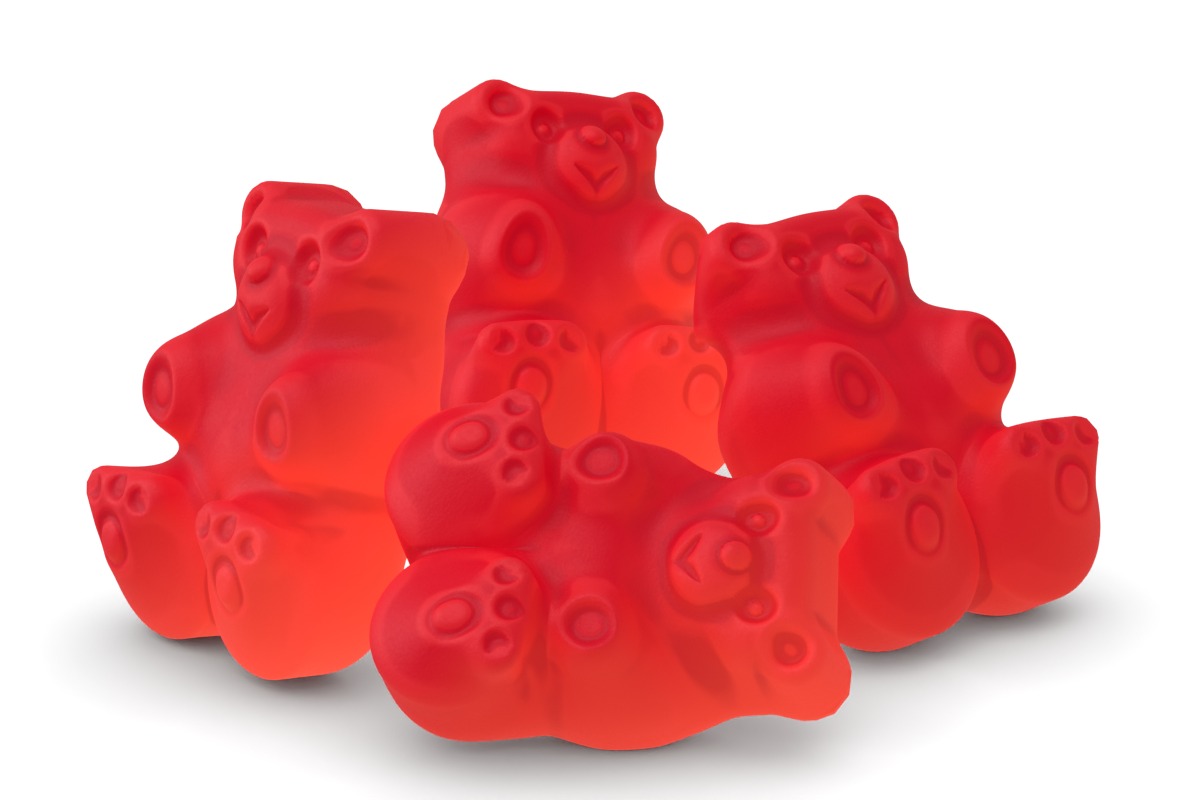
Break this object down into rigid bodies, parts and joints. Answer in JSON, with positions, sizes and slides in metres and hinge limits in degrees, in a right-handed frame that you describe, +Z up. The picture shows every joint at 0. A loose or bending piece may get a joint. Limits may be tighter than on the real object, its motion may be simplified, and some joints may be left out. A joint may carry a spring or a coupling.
{
  "type": "gummy bears",
  "caption": "Small heap of soft red jelly sweets shaped as sitting bears, with plain tummies, pressed paws and toes and flat backs; three sit and one lies on its side.",
  "frame": {"origin": "on the surface that the heap rests on, under the middle of the heap's box", "axes": "+Z up; +Y from the front of the heap to the back, its longest side; +X to the right as seen from the front"},
  "size_m": [0.0486, 0.055, 0.0216],
  "materials": {
    "jelly": "translucent red jelly with a dull, slightly frosted skin"
  },
  "bodies": {
    "root": {"bear_left": "jelly", "bear_back": "jelly", "bear_right": "jelly", "bear_front": "jelly"}
  },
  "joints": []
}
